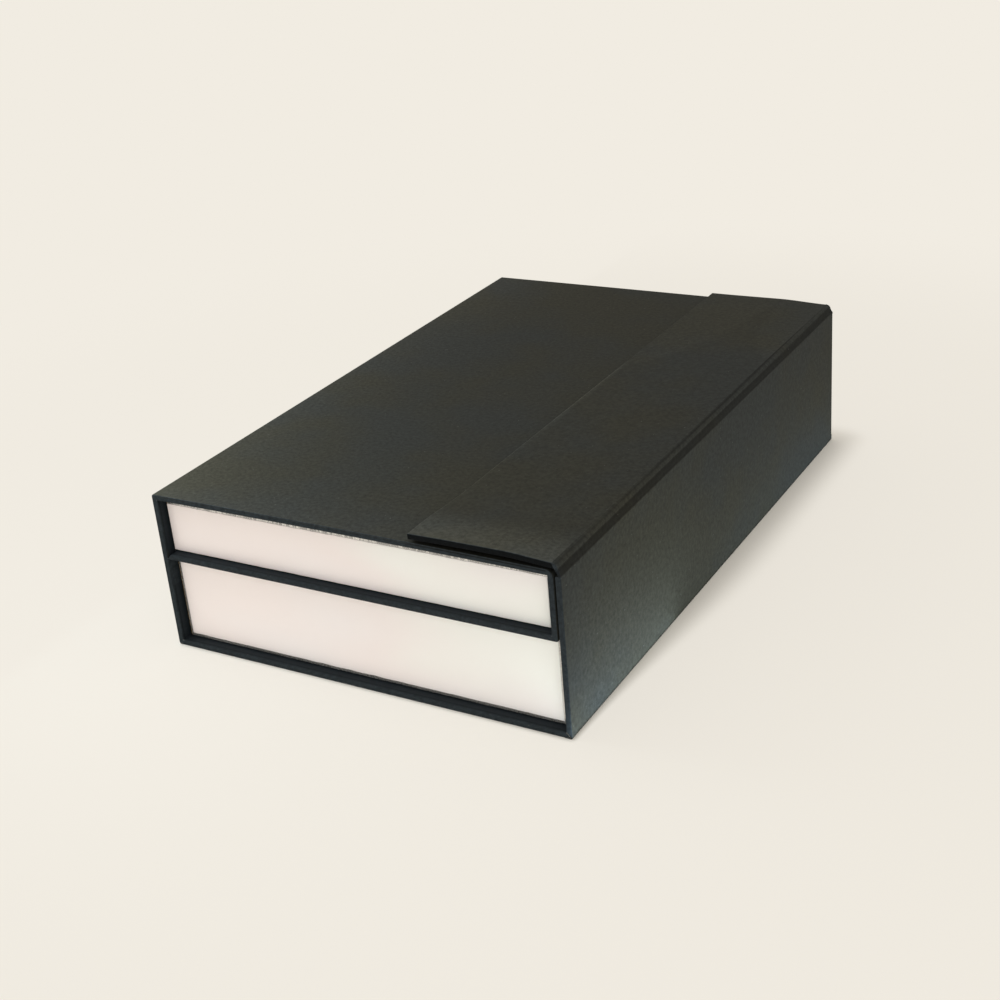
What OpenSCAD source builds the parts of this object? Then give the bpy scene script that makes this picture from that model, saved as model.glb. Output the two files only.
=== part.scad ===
// Rigid gift box with two drawers, one above the other.
// Seven greyboard panels in a row are wrapped in black paper and folded into a spiral:
// shelf, inner wall, top, left wall, bottom, side wall and flap. The side wall and the flap
// close round the outside, and magnets hold the flap on the top.
// Sections are drawn in the X-Z plane, seen from the front, with 0,0 at the case's lower
// left corner, and are run along Y. The finished part stands with its origin under its middle.

/* [Case] */
// Width of the case across its outer walls
case_w = 180; // [150:1:240]
// Depth of the case from front to back
case_d = 280; // [200:1:340]
// Thickness of the case's greyboard
board_t = 2; // [1.5:0.1:2.5]
// Thickness of every paper
paper_t = 0.15; // [0.1:0.05:0.2]
// Clear height of the lower bay
lower_bay_h = 37; // [24:1:60]
// Clear height of the upper bay
upper_bay_h = 23.6; // [16:0.1:50]
// Outer radius of the two soft creases along the left wall
left_crease_r = 2.2; // [1:0.1:3]
// Outer radius of the crease between the top and the inner wall
inner_crease_r = 3; // [1:0.1:4]
// Distance from a panel's edge to the edge of its lining
lining_setback = 1.5; // [0.5:0.1:4]
// Height of the paper tab that glues the shelf to the left wall
shelf_tab_h = 12; // [5:1:18]

/* [Side wall and flap] */
// Air between the inner wall and the side wall
side_wall_gap = 0.7; // [0.4:0.1:1.5]
// Air between the top and the flap
flap_gap = 0.7; // [0.4:0.1:1.5]
// Width of the flap, from its free edge to the outside of the side wall
flap_w = 61; // [45:1:75]
// Distance across the flap's crease, from the flap's end to the outside of the side wall
crease_run = 2.7; // [2.5:0.1:4]
// Distance down the flap's crease, from the flap's face to the end of the side wall
crease_drop = 5.2; // [4:0.1:7]
// How far the paper dips at each edge of the flap's crease
crease_dip = 0.35; // [0.1:0.05:0.5]
// Air between the bevelled edges of the bottom and the side wall, measured flat
mitre_gap = 0.5; // [0.45:0.05:0.8]
// Width of the paper on each side of the lower crease
lower_crease_w = 3; // [2:0.5:6]

/* [Magnets] */
// Diameter of the magnets and of their keeper plates
magnet_d = 12; // [8:1:16]
// Thickness of the magnets
magnet_t = 1.4; // [1:0.1:1.4]
// Thickness of the keeper plates
keeper_t = 0.8; // [0.5:0.1:1.4]
// Clearance round a magnet or a plate
magnet_clear = 0.1; // [0.05:0.05:0.3]
// Distance from the flap's free edge to the magnets' middle
magnet_inset = 14; // [11:1:20]
// Distance from the case's ends to the magnets' middle
magnet_end = 62; // [20:1:90]

/* [Drawers] */
// How far the drawers stand back from the front and the back of the case
drawer_recess = 4; // [0:0.5:10]
// Thickness of the drawers' greyboard
drawer_board_t = 1.5; // [1:0.1:2]
// Air on each side of the upper drawer
upper_side_gap = 1; // [0.4:0.1:2]
// Air on each side of the lower drawer
lower_side_gap = 1.4; // [0.8:0.1:2.5]
// Air under each drawer
drawer_lift = 0.4; // [0.3:0.1:1]
// Air over each drawer
drawer_headroom = 0.8; // [0.4:0.1:2]
// Margin round the facing sheet on a drawer's front
facing_margin = 1.2; // [0.5:0.1:3]
// Margin round the lining sheet on a drawer's floor
floor_margin = 1; // [0.3:0.1:3]
// Thickness of the tape over a drawer's corners
tape_t = 0.07; // [0.05:0.01:0.08]
// Reach of the tape on each side of a corner
tape_w = 11; // [6:1:15]

/* [Hidden] */
// A wrapped panel: board with paper on both faces
panel_t = board_t + 2 * paper_t;
// Sections of the case
shelf_z = panel_t + lower_bay_h;
upper_floor_z = shelf_z + panel_t;
top_z = upper_floor_z + upper_bay_h + panel_t;
inner_x = case_w - panel_t - side_wall_gap;
board_in = paper_t + board_t;
past = 1;
// Side wall and flap
flap_z = top_z + flap_gap;
flap_top_z = flap_z + panel_t;
flap_free_x = case_w - flap_w;
flap_end_x = case_w - crease_run;
side_end_z = flap_top_z - crease_drop;
half_mitre = mitre_gap / 2;
crease_steps = 16;
// Magnets
magnet_x = flap_free_x + magnet_inset;
magnet_ys = [magnet_end, case_d - magnet_end];
pocket_r = magnet_d / 2 + magnet_clear;
flap_pocket_h = magnet_t + magnet_clear;
keeper_pocket_h = keeper_t + magnet_clear;
// Drawers, each given as [left, right, floor, rim]
upper = [
    panel_t + upper_side_gap, inner_x - panel_t - upper_side_gap,
    upper_floor_z + drawer_lift, top_z - panel_t - drawer_headroom
];
lower = [
    panel_t + lower_side_gap, case_w - panel_t - lower_side_gap,
    panel_t + drawer_lift, shelf_z - drawer_headroom
];
drawer_front_y = drawer_recess;
drawer_back_y = case_d - drawer_recess;
skin_y = drawer_front_y + paper_t;

board_grey = "dimgray";
cover_black = "#3a3a38";
lining_black = "#2c2d2e";
foil = "#ece6de";
kraft = "#a98d63";
steel = "silver";

$fn = 48;

// ---- Drawing aids ----

// Runs a section along the depth, from y0 to y1 behind the case's front.
module along(y0, y1) {
    translate([-case_w / 2, y1 - case_d / 2, 0])
        rotate([90, 0, 0])
            linear_extrude(height = y1 - y0)
                children();
}

// A rectangle of a section between two corners.
module area(x0, z0, x1, z1) {
    translate([x0, z0])
        square([x1 - x0, z1 - z0]);
}

// Rounds one corner away: a square of side r less the disc that stays.
module corner_waste(x, z, r, dx, dz) {
    difference() {
        area(
            min(x, x + dx * r) - (dx > 0 ? past : 0), min(z, z + dz * r) - (dz > 0 ? past : 0),
            max(x, x + dx * r) + (dx < 0 ? past : 0), max(z, z + dz * r) + (dz < 0 ? past : 0)
        );
        translate([x + dx * r, z + dz * r])
            circle(r);
        area(
            x + (dx > 0 ? r : -r - past), z - 2 * past - r,
            x + (dx > 0 ? r + past : -r), z + 2 * past + r
        );
    }
}

// The case's outline with its three soft creases, drawn in by the given depth.
module soft_outline(inset, floor_z) {
    difference() {
        area(inset, floor_z + inset, inner_x - inset, top_z - inset);
        if (floor_z == 0)
            corner_waste(inset, inset, left_crease_r - inset, 1, 1);
        corner_waste(inset, top_z - inset, left_crease_r - inset, 1, -1);
        corner_waste(inner_x - inset, top_z - inset, inner_crease_r - inset, -1, -1);
    }
}

// A box in the case's own coordinates.
module block(x0, y0, z0, x1, y1, z1) {
    translate([x0 - case_w / 2, y0 - case_d / 2, z0])
        cube([x1 - x0, y1 - y0, z1 - z0]);
}

// A paper that covers a panel's face and turns in over its front and back edges:
// children 0 to 2 are the sections of the skin, of the whole panel and of its inner face.
module turned_in_paper() {
    along(0, case_d)
        children(0);
    for (y = [0, case_d - paper_t])
        along(y, y + paper_t)
            children(1);
    for (y = [0, case_d - lining_setback])
        along(y, y + lining_setback)
            children(2);
}

// ---- Case boards ----

module bottom_board_section() {
    intersection() {
        difference() {
            area(paper_t, paper_t, case_w, board_in);
            corner_waste(paper_t, paper_t, left_crease_r - paper_t, 1, 1);
        }
        polygon([
            [-past, -past], [board_in, board_in],
            [case_w - board_in - half_mitre, board_in],
            [case_w + past - half_mitre, -past]
        ]);
    }
}

module left_wall_board_section() {
    intersection() {
        soft_outline(paper_t, 0);
        polygon([
            [-past, -past], [board_in, board_in],
            [board_in, top_z - board_in], [-past, top_z + past]
        ]);
    }
}

module top_board_section() {
    intersection() {
        soft_outline(paper_t, 0);
        polygon([
            [-past, top_z + past], [board_in, top_z - board_in],
            [inner_x - board_in, top_z - board_in], [inner_x + past, top_z + past]
        ]);
    }
}

module inner_wall_board_section() {
    intersection() {
        soft_outline(paper_t, shelf_z);
        polygon([
            [inner_x + past, top_z + past], [inner_x - board_in, top_z - board_in],
            [inner_x - board_in, shelf_z + board_in], [inner_x + past, shelf_z - past]
        ]);
    }
}

// The shelf's left end is bevelled to a tip that touches the left wall.
module shelf_board_section() {
    polygon([
        [panel_t, shelf_z + paper_t], [inner_x - paper_t, shelf_z + paper_t],
        [inner_x - board_in, shelf_z + board_in], [panel_t + board_t, shelf_z + board_in]
    ]);
}

module bottom_board() {
    color(board_grey)
        along(paper_t, case_d - paper_t)
            bottom_board_section();
}

module left_wall_board() {
    color(board_grey)
        along(paper_t, case_d - paper_t)
            left_wall_board_section();
}

module top_board() {
    color(board_grey)
        difference() {
            along(paper_t, case_d - paper_t)
                top_board_section();
            magnet_discs(top_z - paper_t - keeper_pocket_h, keeper_pocket_h + past, pocket_r);
        }
}

module inner_wall_board() {
    color(board_grey)
        along(paper_t, case_d - paper_t)
            inner_wall_board_section();
}

module shelf_board() {
    color(board_grey)
        along(paper_t, case_d - paper_t)
            shelf_board_section();
}

// ---- Case papers ----

// The lining is one sheet on the inside of the spiral, from the bottom to the shelf's bevel.
module case_lining_section() {
    area(board_in, board_in, case_w - panel_t - half_mitre, panel_t);
    area(board_in, board_in, panel_t, top_z - board_in);
    area(board_in, top_z - panel_t, inner_x - board_in, top_z - board_in);
    area(inner_x - panel_t, shelf_z + board_in, inner_x - board_in, top_z - board_in);
    shelf_lining_section();
}

module shelf_lining_section() {
    area(panel_t + board_t, shelf_z + board_in, inner_x - board_in, upper_floor_z);
    polygon([
        [panel_t, shelf_z + paper_t], [panel_t + board_t, shelf_z + board_in],
        [panel_t + board_t, upper_floor_z],
        [panel_t + board_t - paper_t * (sqrt(2) - 1), upper_floor_z],
        [panel_t, shelf_z + paper_t * (1 + sqrt(2))]
    ]);
}

// The cover's skin runs over the left wall, the top, the inner wall and the shelf's
// underside, and ends in the glued tab.
module case_skin_section() {
    difference() {
        soft_outline(0, 0);
        soft_outline(paper_t, 0);
        area(left_crease_r, -past, inner_x + past, shelf_z);
    }
    area(panel_t, shelf_z, inner_x, shelf_z + paper_t);
    area(panel_t, shelf_z - shelf_tab_h, panel_t + paper_t, shelf_z + paper_t);
}

module bottom_skin_section() {
    area(left_crease_r, 0, case_w - lower_crease_w, paper_t);
}

module bottom_face_section() {
    area(board_in, board_in, case_w - panel_t - half_mitre, panel_t);
}

module case_boards_section() {
    left_wall_board_section();
    top_board_section();
    inner_wall_board_section();
    shelf_board_section();
}

module case_face_section() {
    difference() {
        case_lining_section();
        bottom_face_section();
    }
}

module case_cover_paper() {
    color(cover_black)
        turned_in_paper() {
            case_skin_section();
            union() {
                case_boards_section();
                case_face_section();
            }
            case_face_section();
        }
}

module bottom_cover_paper() {
    color(cover_black)
        turned_in_paper() {
            bottom_skin_section();
            union() {
                bottom_skin_section();
                bottom_board_section();
                bottom_face_section();
            }
            bottom_face_section();
        }
}

module case_lining_paper() {
    color(lining_black)
        along(lining_setback, case_d - lining_setback)
            case_lining_section();
}

// ---- Side wall ----

module side_wall_board_section() {
    polygon([
        [case_w - paper_t, paper_t + half_mitre], [case_w - paper_t, side_end_z - paper_t],
        [case_w - board_in, side_end_z - paper_t], [case_w - board_in, board_in + half_mitre]
    ]);
}

module side_wall_skin_section() {
    area(case_w - paper_t, lower_crease_w, case_w, side_end_z);
}

// The lining turns over the board's upper end and meets the cover in the crease.
module side_wall_face_section() {
    area(case_w - panel_t, panel_t + half_mitre, case_w - board_in, side_end_z);
    area(case_w - panel_t, side_end_z - paper_t, case_w - paper_t, side_end_z);
}

module side_wall_board() {
    color(board_grey)
        along(paper_t, case_d - paper_t)
            side_wall_board_section();
}

module side_wall_cover_paper() {
    color(cover_black)
        turned_in_paper() {
            side_wall_skin_section();
            union() {
                side_wall_skin_section();
                side_wall_board_section();
                side_wall_face_section();
            }
            side_wall_face_section();
        }
}

module side_wall_lining_paper() {
    color(lining_black)
        along(lining_setback, case_d - lining_setback)
            side_wall_face_section();
}

// The lower crease is a strip of cover paper folded round the case's lower right edge.
module lower_crease_paper() {
    color(cover_black)
        along(0, case_d) {
            area(case_w - lower_crease_w, 0, case_w, paper_t);
            area(case_w - paper_t, 0, case_w, lower_crease_w);
        }
}

// ---- Flap ----

module flap_board_section() {
    area(flap_free_x + paper_t, flap_z + paper_t, flap_end_x - paper_t, flap_z + board_in);
}

module flap_skin_section() {
    area(flap_free_x, flap_z + board_in, flap_end_x, flap_top_z);
    area(flap_free_x, flap_z, flap_free_x + paper_t, flap_top_z);
    area(flap_free_x, flap_z, flap_free_x + lining_setback, flap_z + paper_t);
}

module flap_face_section() {
    area(flap_free_x + lining_setback, flap_z, flap_end_x, flap_z + paper_t);
    area(flap_end_x - paper_t, flap_z, flap_end_x, flap_z + board_in);
}

module flap_board() {
    color(board_grey)
        difference() {
            along(paper_t, case_d - paper_t)
                flap_board_section();
            magnet_discs(flap_z + paper_t - past, flap_pocket_h + past, pocket_r);
        }
}

module flap_cover_paper() {
    color(cover_black)
        turned_in_paper() {
            flap_skin_section();
            union() {
                flap_skin_section();
                flap_board_section();
                flap_face_section();
            }
            flap_face_section();
        }
}

module flap_lining_paper() {
    color(lining_black)
        along(lining_setback, case_d - lining_setback)
            flap_face_section();
}

// The crease's two papers lie face to face and dip at both edges, with a low ridge between.
function crease_depth(s) = crease_dip * (1 - cos(720 * s)) / 2;

function crease_point(s, depth) =
    let (
        length = sqrt(crease_run * crease_run + crease_drop * crease_drop),
        inward = [-crease_drop, -crease_run] / length
    )
    [flap_end_x + crease_run * s, flap_top_z - crease_drop * s] + inward * depth;

module flap_crease_section() {
    steps = [for (i = [1 : crease_steps - 1]) i / crease_steps];
    intersection() {
        polygon(concat(
            [[flap_end_x, flap_top_z]],
            [for (s = steps) crease_point(s, crease_depth(s))],
            [[case_w, side_end_z], [case_w - 2 * paper_t, side_end_z]],
            [for (i = [len(steps) - 1 : -1 : 0])
                crease_point(steps[i], crease_depth(steps[i]) + 2 * paper_t)],
            [crease_point(0, 2 * paper_t)]
        ));
        area(flap_end_x, side_end_z, case_w, flap_top_z);
    }
}

module flap_crease_paper() {
    color(cover_black)
        along(0, case_d)
            flap_crease_section();
}

// ---- Magnets ----

// Discs of one height, at the magnets' places.
module magnet_discs(z, h, r) {
    for (y = magnet_ys)
        translate([magnet_x - case_w / 2, y - case_d / 2, z])
            cylinder(r = r, h = h);
}

module flap_magnets() {
    color(steel)
        magnet_discs(flap_z + paper_t, magnet_t, magnet_d / 2);
}

module keeper_plates() {
    color(steel)
        magnet_discs(top_z - paper_t - keeper_t, keeper_t, magnet_d / 2);
}

// ---- Drawers ----

// The drawer's outer shape, drawn in by the given depth and open upwards past its rim.
module drawer_core(d, inset, floor_up, rim_up) {
    block(
        d[0] + inset, skin_y + inset, d[2] + floor_up,
        d[1] - inset, drawer_back_y - inset, d[3] + rim_up
    );
}

module drawer_base(d) {
    color(board_grey)
        block(
            d[0] + paper_t + drawer_board_t, skin_y + paper_t + drawer_board_t, d[2] + paper_t,
            d[1] - paper_t - drawer_board_t, drawer_back_y - paper_t - drawer_board_t,
            d[2] + paper_t + drawer_board_t
        );
}

module drawer_end_board(d, y) {
    color(board_grey)
        block(
            d[0] + paper_t, y, d[2] + paper_t,
            d[1] - paper_t, y + drawer_board_t, d[3] - paper_t
        );
}

module drawer_side_board(d, x) {
    color(board_grey)
        block(
            x, skin_y + paper_t + drawer_board_t, d[2] + paper_t,
            x + drawer_board_t, drawer_back_y - paper_t - drawer_board_t, d[3] - paper_t
        );
}

// Four angles of tape hold the upright corners together under the wrap.
module drawer_tapes(d) {
    color(kraft)
        difference() {
            drawer_core(d, paper_t - tape_t, paper_t, -paper_t);
            drawer_core(d, paper_t, -past, past);
            block(
                d[0] - past, skin_y + tape_w, d[2] - past,
                d[1] + past, drawer_back_y - tape_w, d[3] + past
            );
            block(
                d[0] + tape_w, skin_y - past, d[2] - past,
                d[1] - tape_w, drawer_back_y + past, d[3] + past
            );
        }
}

// The wrap covers the outside and the rim, and turns in down to the floor.
module drawer_wrap(d) {
    wall_t = drawer_board_t + 2 * paper_t;
    color(foil)
        difference() {
            drawer_core(d, 0, 0, 0);
            drawer_core(d, wall_t, paper_t + drawer_board_t, past);
            difference() {
                drawer_core(d, paper_t, paper_t, -paper_t);
                drawer_core(d, paper_t + drawer_board_t, paper_t + drawer_board_t, past);
            }
            drawer_tapes(d);
        }
}

// The facing is a sheet a little smaller than the front, glued over the wrap.
module drawer_facing(d) {
    color(foil)
        block(
            d[0] + facing_margin, drawer_front_y, d[2] + facing_margin,
            d[1] - facing_margin, skin_y, d[3] - facing_margin
        );
}

module drawer_floor_lining(d) {
    edge = drawer_board_t + 2 * paper_t + floor_margin;
    floor_z = d[2] + paper_t + drawer_board_t;
    color(foil)
        block(
            d[0] + edge, skin_y + edge, floor_z,
            d[1] - edge, drawer_back_y - edge, floor_z + paper_t
        );
}

front_board_y = skin_y + paper_t;
back_board_y = drawer_back_y - paper_t - drawer_board_t;

module upper_base_board() { drawer_base(upper); }
module upper_front_board() { drawer_end_board(upper, front_board_y); }
module upper_back_board() { drawer_end_board(upper, back_board_y); }
module upper_left_board() { drawer_side_board(upper, upper[0] + paper_t); }
module upper_right_board() { drawer_side_board(upper, upper[1] - paper_t - drawer_board_t); }
module upper_corner_tapes() { drawer_tapes(upper); }
module upper_wrap_paper() { drawer_wrap(upper); }
module upper_front_facing() { drawer_facing(upper); }
module upper_floor_lining() { drawer_floor_lining(upper); }

module lower_base_board() { drawer_base(lower); }
module lower_front_board() { drawer_end_board(lower, front_board_y); }
module lower_back_board() { drawer_end_board(lower, back_board_y); }
module lower_left_board() { drawer_side_board(lower, lower[0] + paper_t); }
module lower_right_board() { drawer_side_board(lower, lower[1] - paper_t - drawer_board_t); }
module lower_corner_tapes() { drawer_tapes(lower); }
module lower_wrap_paper() { drawer_wrap(lower); }
module lower_front_facing() { drawer_facing(lower); }
module lower_floor_lining() { drawer_floor_lining(lower); }

// ---- The part ----

bottom_board();
left_wall_board();
top_board();
inner_wall_board();
shelf_board();
bottom_cover_paper();
case_cover_paper();
case_lining_paper();
keeper_plates();
side_wall_board();
side_wall_cover_paper();
side_wall_lining_paper();
lower_crease_paper();
flap_board();
flap_cover_paper();
flap_lining_paper();
flap_crease_paper();
flap_magnets();
upper_base_board();
upper_front_board();
upper_back_board();
upper_left_board();
upper_right_board();
upper_corner_tapes();
upper_wrap_paper();
upper_front_facing();
upper_floor_lining();
lower_base_board();
lower_front_board();
lower_back_board();
lower_left_board();
lower_right_board();
lower_corner_tapes();
lower_wrap_paper();
lower_front_facing();
lower_floor_lining();
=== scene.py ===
"""Papers, foils, boards, floor, lamps and camera of a rigid gift box with two drawers."""
import math

import bmesh
import bpy
import numpy as np
from bpy.props import FloatProperty, FloatVectorProperty, PointerProperty
from bpy.types import Operator, Panel, PropertyGroup
from mathutils import Matrix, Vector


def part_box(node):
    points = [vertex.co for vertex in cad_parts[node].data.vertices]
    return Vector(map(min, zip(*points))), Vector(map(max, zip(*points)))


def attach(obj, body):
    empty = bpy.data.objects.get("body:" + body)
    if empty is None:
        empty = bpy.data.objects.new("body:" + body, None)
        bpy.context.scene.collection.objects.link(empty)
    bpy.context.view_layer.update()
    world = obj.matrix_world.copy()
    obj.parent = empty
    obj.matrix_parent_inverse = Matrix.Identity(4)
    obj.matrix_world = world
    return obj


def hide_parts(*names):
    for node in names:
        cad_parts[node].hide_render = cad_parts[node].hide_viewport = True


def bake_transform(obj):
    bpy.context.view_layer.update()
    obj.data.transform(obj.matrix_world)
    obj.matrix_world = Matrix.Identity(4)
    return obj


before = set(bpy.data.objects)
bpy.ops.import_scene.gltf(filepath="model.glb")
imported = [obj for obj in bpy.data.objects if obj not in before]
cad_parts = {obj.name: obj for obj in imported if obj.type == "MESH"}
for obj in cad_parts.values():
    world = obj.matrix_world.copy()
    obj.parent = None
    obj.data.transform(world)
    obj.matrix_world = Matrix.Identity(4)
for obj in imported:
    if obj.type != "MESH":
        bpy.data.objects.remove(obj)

bl_info = {
    "name": "Two-drawer gift box",
    "version": (1, 0, 0),
    "blender": (4, 5, 0),
    "location": "3D View > Sidebar > Gift box",
    "description": "Builds the papers, foils, boards and stage of a wrapped two-drawer gift box",
    "category": "Add Mesh",
}

MM = 0.001
MERGE = 2e-6  # points nearer than this become one
TOUCH = 1e-6  # places nearer than this count as the same
SHARP = math.radians(50)  # edges sharper than this are shaded as edges
INNER_FOLD = 0.2 * MM  # radius on the inner side of a fold
SHELF_FOLD = 0.5 * MM  # radius outside the fold between inner wall and shelf
MITRE_WIDTH = 0.28 * MM  # half the width of a folded corner's line
TAB = 12 * MM  # height of the tab that glues the shelf to the left wall
POCKET_CLEAR = 0.1 * MM  # gap between a disc and its pocket
PAST = 1 * MM  # how far a pocket's cutter stands out of the board

# The camera's place and its axes, and its lens
CAMERA_AT = (0.3236, -0.5557, 0.3225)
CAMERA_RIGHT = (0.8691, 0.4880, -0.0801)
CAMERA_UP = (-0.1481, 0.4113, 0.8993)
CAMERA_AHEAD = (-0.4719, 0.7698, -0.4298)
LENS, SENSOR, SHIFT_Y = 57.66, 36.0, 0.002

# Colours of the lamps and of the even light
WARM, COOL, COLD = (1.0, 0.985, 0.955), (0.88, 1.0, 1.08), (0.80, 1.0, 1.16)
SUNLIGHT, DAYLIGHT = (1.0, 0.99, 0.97), (1.0, 0.98, 0.95)

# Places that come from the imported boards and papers, in metres
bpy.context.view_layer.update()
CASE_LO, CASE_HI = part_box("case_cover_paper")
LINING_LO, LINING_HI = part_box("case_lining_paper")
WALL_LO, WALL_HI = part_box("side_wall_cover_paper")
FLAP_LO, FLAP_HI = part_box("flap_cover_paper")
CREASE_LO, CREASE_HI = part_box("flap_crease_paper")
STRIP_LO, STRIP_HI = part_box("lower_crease_paper")
LEFT, FRONT, BACK = CASE_LO.x, CASE_LO.y, CASE_HI.y
RIGHT = WALL_HI.x
TOP = CASE_HI.z
INNER = CASE_HI.x
DEPTH = BACK - FRONT
PANEL = WALL_HI.x - WALL_LO.x
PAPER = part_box("left_wall_board")[0].x - LEFT
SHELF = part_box("shelf_board")[0].z - PAPER
SETBACK = LINING_LO.y - FRONT


# ---- What a user may change ----


def length(label, about, default, low=0.0, high=0.05):
    """A size in metres."""
    return FloatProperty(
        name=label, description=about, default=default, min=low, max=high,
        unit="LENGTH", subtype="DISTANCE", precision=5,
    )


def colour(label, about, default):
    """A colour."""
    return FloatVectorProperty(
        name=label, description=about, default=default, min=0.0, max=1.0,
        size=3, subtype="COLOR",
    )


def factor(label, about, default, low=0.0, high=1.0):
    """A plain number."""
    return FloatProperty(name=label, description=about, default=default, min=low, max=high)


class WrapSettings(PropertyGroup):
    """Sizes and colours of the wrapped boards."""

    arris: length("Arris radius", "Rounding of the folded paper edges", 0.42 * MM)
    left_crease: length("Left crease", "Outer radius of the left wall's creases", 0.9 * MM)
    inner_crease: length("Inner crease", "Outer radius between top and inner wall", 3.0 * MM)
    mitre_dip: length("Mitre dip", "Depth of the folded corner lines on the front", 0.10 * MM)
    top_bow: length("Top bow", "How far the top bows up at the front", 0.5 * MM)
    edge_groove: length("Edge groove", "Hollow below the top's front edge", 0.3 * MM)
    cover: colour("Cover paper", "Black cover paper", (0.0307, 0.0312, 0.0271))
    # a cooler, darker copy of the cover paper: painted cool shade on the panels' ends and the
    # bays' faces
    cover_edge: colour("Cover ends", "Cover paper on the panels' ends", (0.024, 0.030, 0.034))
    lining: colour("Lining paper", "Black paper inside the bays", (0.012, 0.0155, 0.0185))


class FlapSettings(PropertyGroup):
    """How the flap lies on the top."""

    curl: length("Curl", "How far the flap's front corner stands up", 1.15 * MM)
    settle: length("Settle", "How far the free edge sinks towards the top", 0.42 * MM)
    curl_depth: length("Curl depth", "How far back the curl runs", 42 * MM, high=0.2)
    back_settle: length("Back settle", "How far the flap's back end sinks", 0.5 * MM)
    back_corner: length("Back corner", "How far its back right corner sinks besides", 0.9 * MM)
    fold: length("Crease fold", "Depth of the crease's wide fold", 0.22 * MM)


class FoilSettings(PropertyGroup):
    """Foil papers of the drawers."""

    facing: colour("Facing", "Pearl foil on the fronts", (0.935, 0.885, 0.875))
    blush: colour("Blush", "Rose cast of the pearl foil", (0.945, 0.858, 0.832))
    mint: colour("Mint", "Green cast of the pearl foil", (0.955, 0.960, 0.915))
    wrap: colour("Wrap", "Foil that covers the drawers", (0.74, 0.72, 0.69))
    crumple: length("Crumple", "Depth of the creases along the rim", 0.16 * MM)


class StageSettings(PropertyGroup):
    """Floor, backdrop and lamps."""

    backdrop: colour("Backdrop", "Colour of floor and backdrop", (0.880, 0.838, 0.760))
    sun: factor("Overhead", "Strength of the soft overhead lamp", 0.05, high=10.0)
    sky: factor("Sky", "Strength of the even light", 0.745, high=5.0)
    front: factor("Front", "Watts of the soft lamp in front", 1.04, high=100.0)
    left: factor("Left", "Watts of the small lamp at the front left", 0.2, high=10.0)
    low: factor("Low", "Watts of the lamp along the side wall's foot", 0.048, high=10.0)
    low_front: factor("Low front", "Watts of the lamp at that foot's front end", 0.078, high=10.0)
    floor_glow: factor("Floor glow", "Share of the floor's colour that takes no shadow", 0.8)
    contact: factor("Contact", "The same share right beside the box", 0.04)


# ---- Surfaces ----


def quarter(centre, radius, first, last, steps):
    """A quarter circle: centre + radius * (first * cos t + last * sin t), t from 0 to 90."""
    t = np.linspace(0, np.pi / 2, steps + 1)[:, None]
    return np.array(centre) + radius * (np.cos(t) * np.array(first) + np.sin(t) * np.array(last))


def run(a, b, count, close=0.3 * MM):
    """Points strictly between a and b: one close to each end and evenly spaced ones between."""
    a, b = np.array(a, float), np.array(b, float)
    span = np.linalg.norm(b - a)
    near = min(close / span, 0.4 / (count + 1)) if span else 0.0
    t = np.concatenate([[near], np.linspace(0, 1, count + 2)[1:-1], [1 - near]])
    return a + t[:, None] * (b - a)


def folded_path(start, folds, end, counts, steps=6):
    """Matching points along the outer and the inner face of a folded panel, in the X-Z plane.

    Each face runs straight between the folds and turns each fold on a quarter circle of its own
    radius. start and end are (outer point, inner point); a fold is (outer corner, inner corner,
    outer radius, inner radius).
    """
    tracks = []
    for face in (0, 1):
        corners = [np.array(f[face], float) for f in folds]
        ends = [np.array(start[face], float), np.array(end[face], float)]
        chain = [ends[0]] + corners + [ends[1]]
        pieces, last = [ends[0][None]], ends[0]
        for i, corner in enumerate(corners):
            came = corner - chain[i]
            came = came / np.linalg.norm(came)
            goes = chain[i + 2] - corner
            goes = goes / np.linalg.norm(goes)
            r = folds[i][2 + face]
            arc = quarter(corner - r * came + r * goes, r, -goes, came, steps)
            pieces += [run(last, arc[0], counts[i]), arc]
            last = arc[-1]
        pieces += [run(last, ends[1], counts[-1]), ends[1][None]]
        tracks.append(np.concatenate(pieces))
    return tracks


def turned_sheet(depth, thick, inset, radius, setback, steps=5, count=70):
    """Half a cover paper's cross-section: (distance into the panel, distance from the front).

    It starts on the inner face, turns over the front's two arrises, runs along the outer face and
    turns over the back's two arrises. inset draws it in by the paper's thickness.
    """
    r = radius - inset
    front = np.concatenate([
        [[thick - inset, setback]],
        run((thick - inset, setback), (thick - inset, radius), 1, 0.2 * MM),
        quarter((thick - radius, radius), r, (1, 0), (0, -1), steps),
        run((thick - radius, inset), (radius, inset), 7, 0.1 * MM),
        quarter((radius, radius), r, (0, -1), (-1, 0), steps),
    ])
    back = front[::-1] * (1, -1) + (0, depth)
    return np.concatenate([front, run((inset, radius), (inset, depth - radius), count), back])


def sweep(outer, inner, thick, section):
    """Carries a cross-section (a, b) along a folded panel.

    The point at station u is outer + (inner - outer) * a / thick in the X-Z plane, and b behind
    the case's front.
    """
    a, b = section[:, 0] / thick, section[:, 1]
    flat = outer[:, None] + (inner - outer)[:, None] * a[None, :, None]
    grid = np.empty((len(outer), len(section), 3))
    grid[..., 0], grid[..., 2] = flat[..., 0], flat[..., 1]
    grid[..., 1] = FRONT + b
    return grid


def ladder_faces(rows, cols):
    """Faces of a tube: rows stations with cols points round each, and a ladder over both ends."""
    at = np.arange(rows * cols).reshape(rows, cols)
    nxt = np.roll(at, -1, axis=1)
    wall = np.stack([at[:-1], nxt[:-1], nxt[1:], at[1:]], -1).reshape(-1, 4)
    half = cols // 2
    k = np.arange(half - 1)
    low = np.stack([at[0, k], at[0, cols - 1 - k], at[0, cols - 2 - k], at[0, k + 1]], -1)
    high = np.stack([at[-1, k], at[-1, k + 1], at[-1, cols - 2 - k], at[-1, cols - 1 - k]], -1)
    return np.concatenate([wall, low, high])


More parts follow.
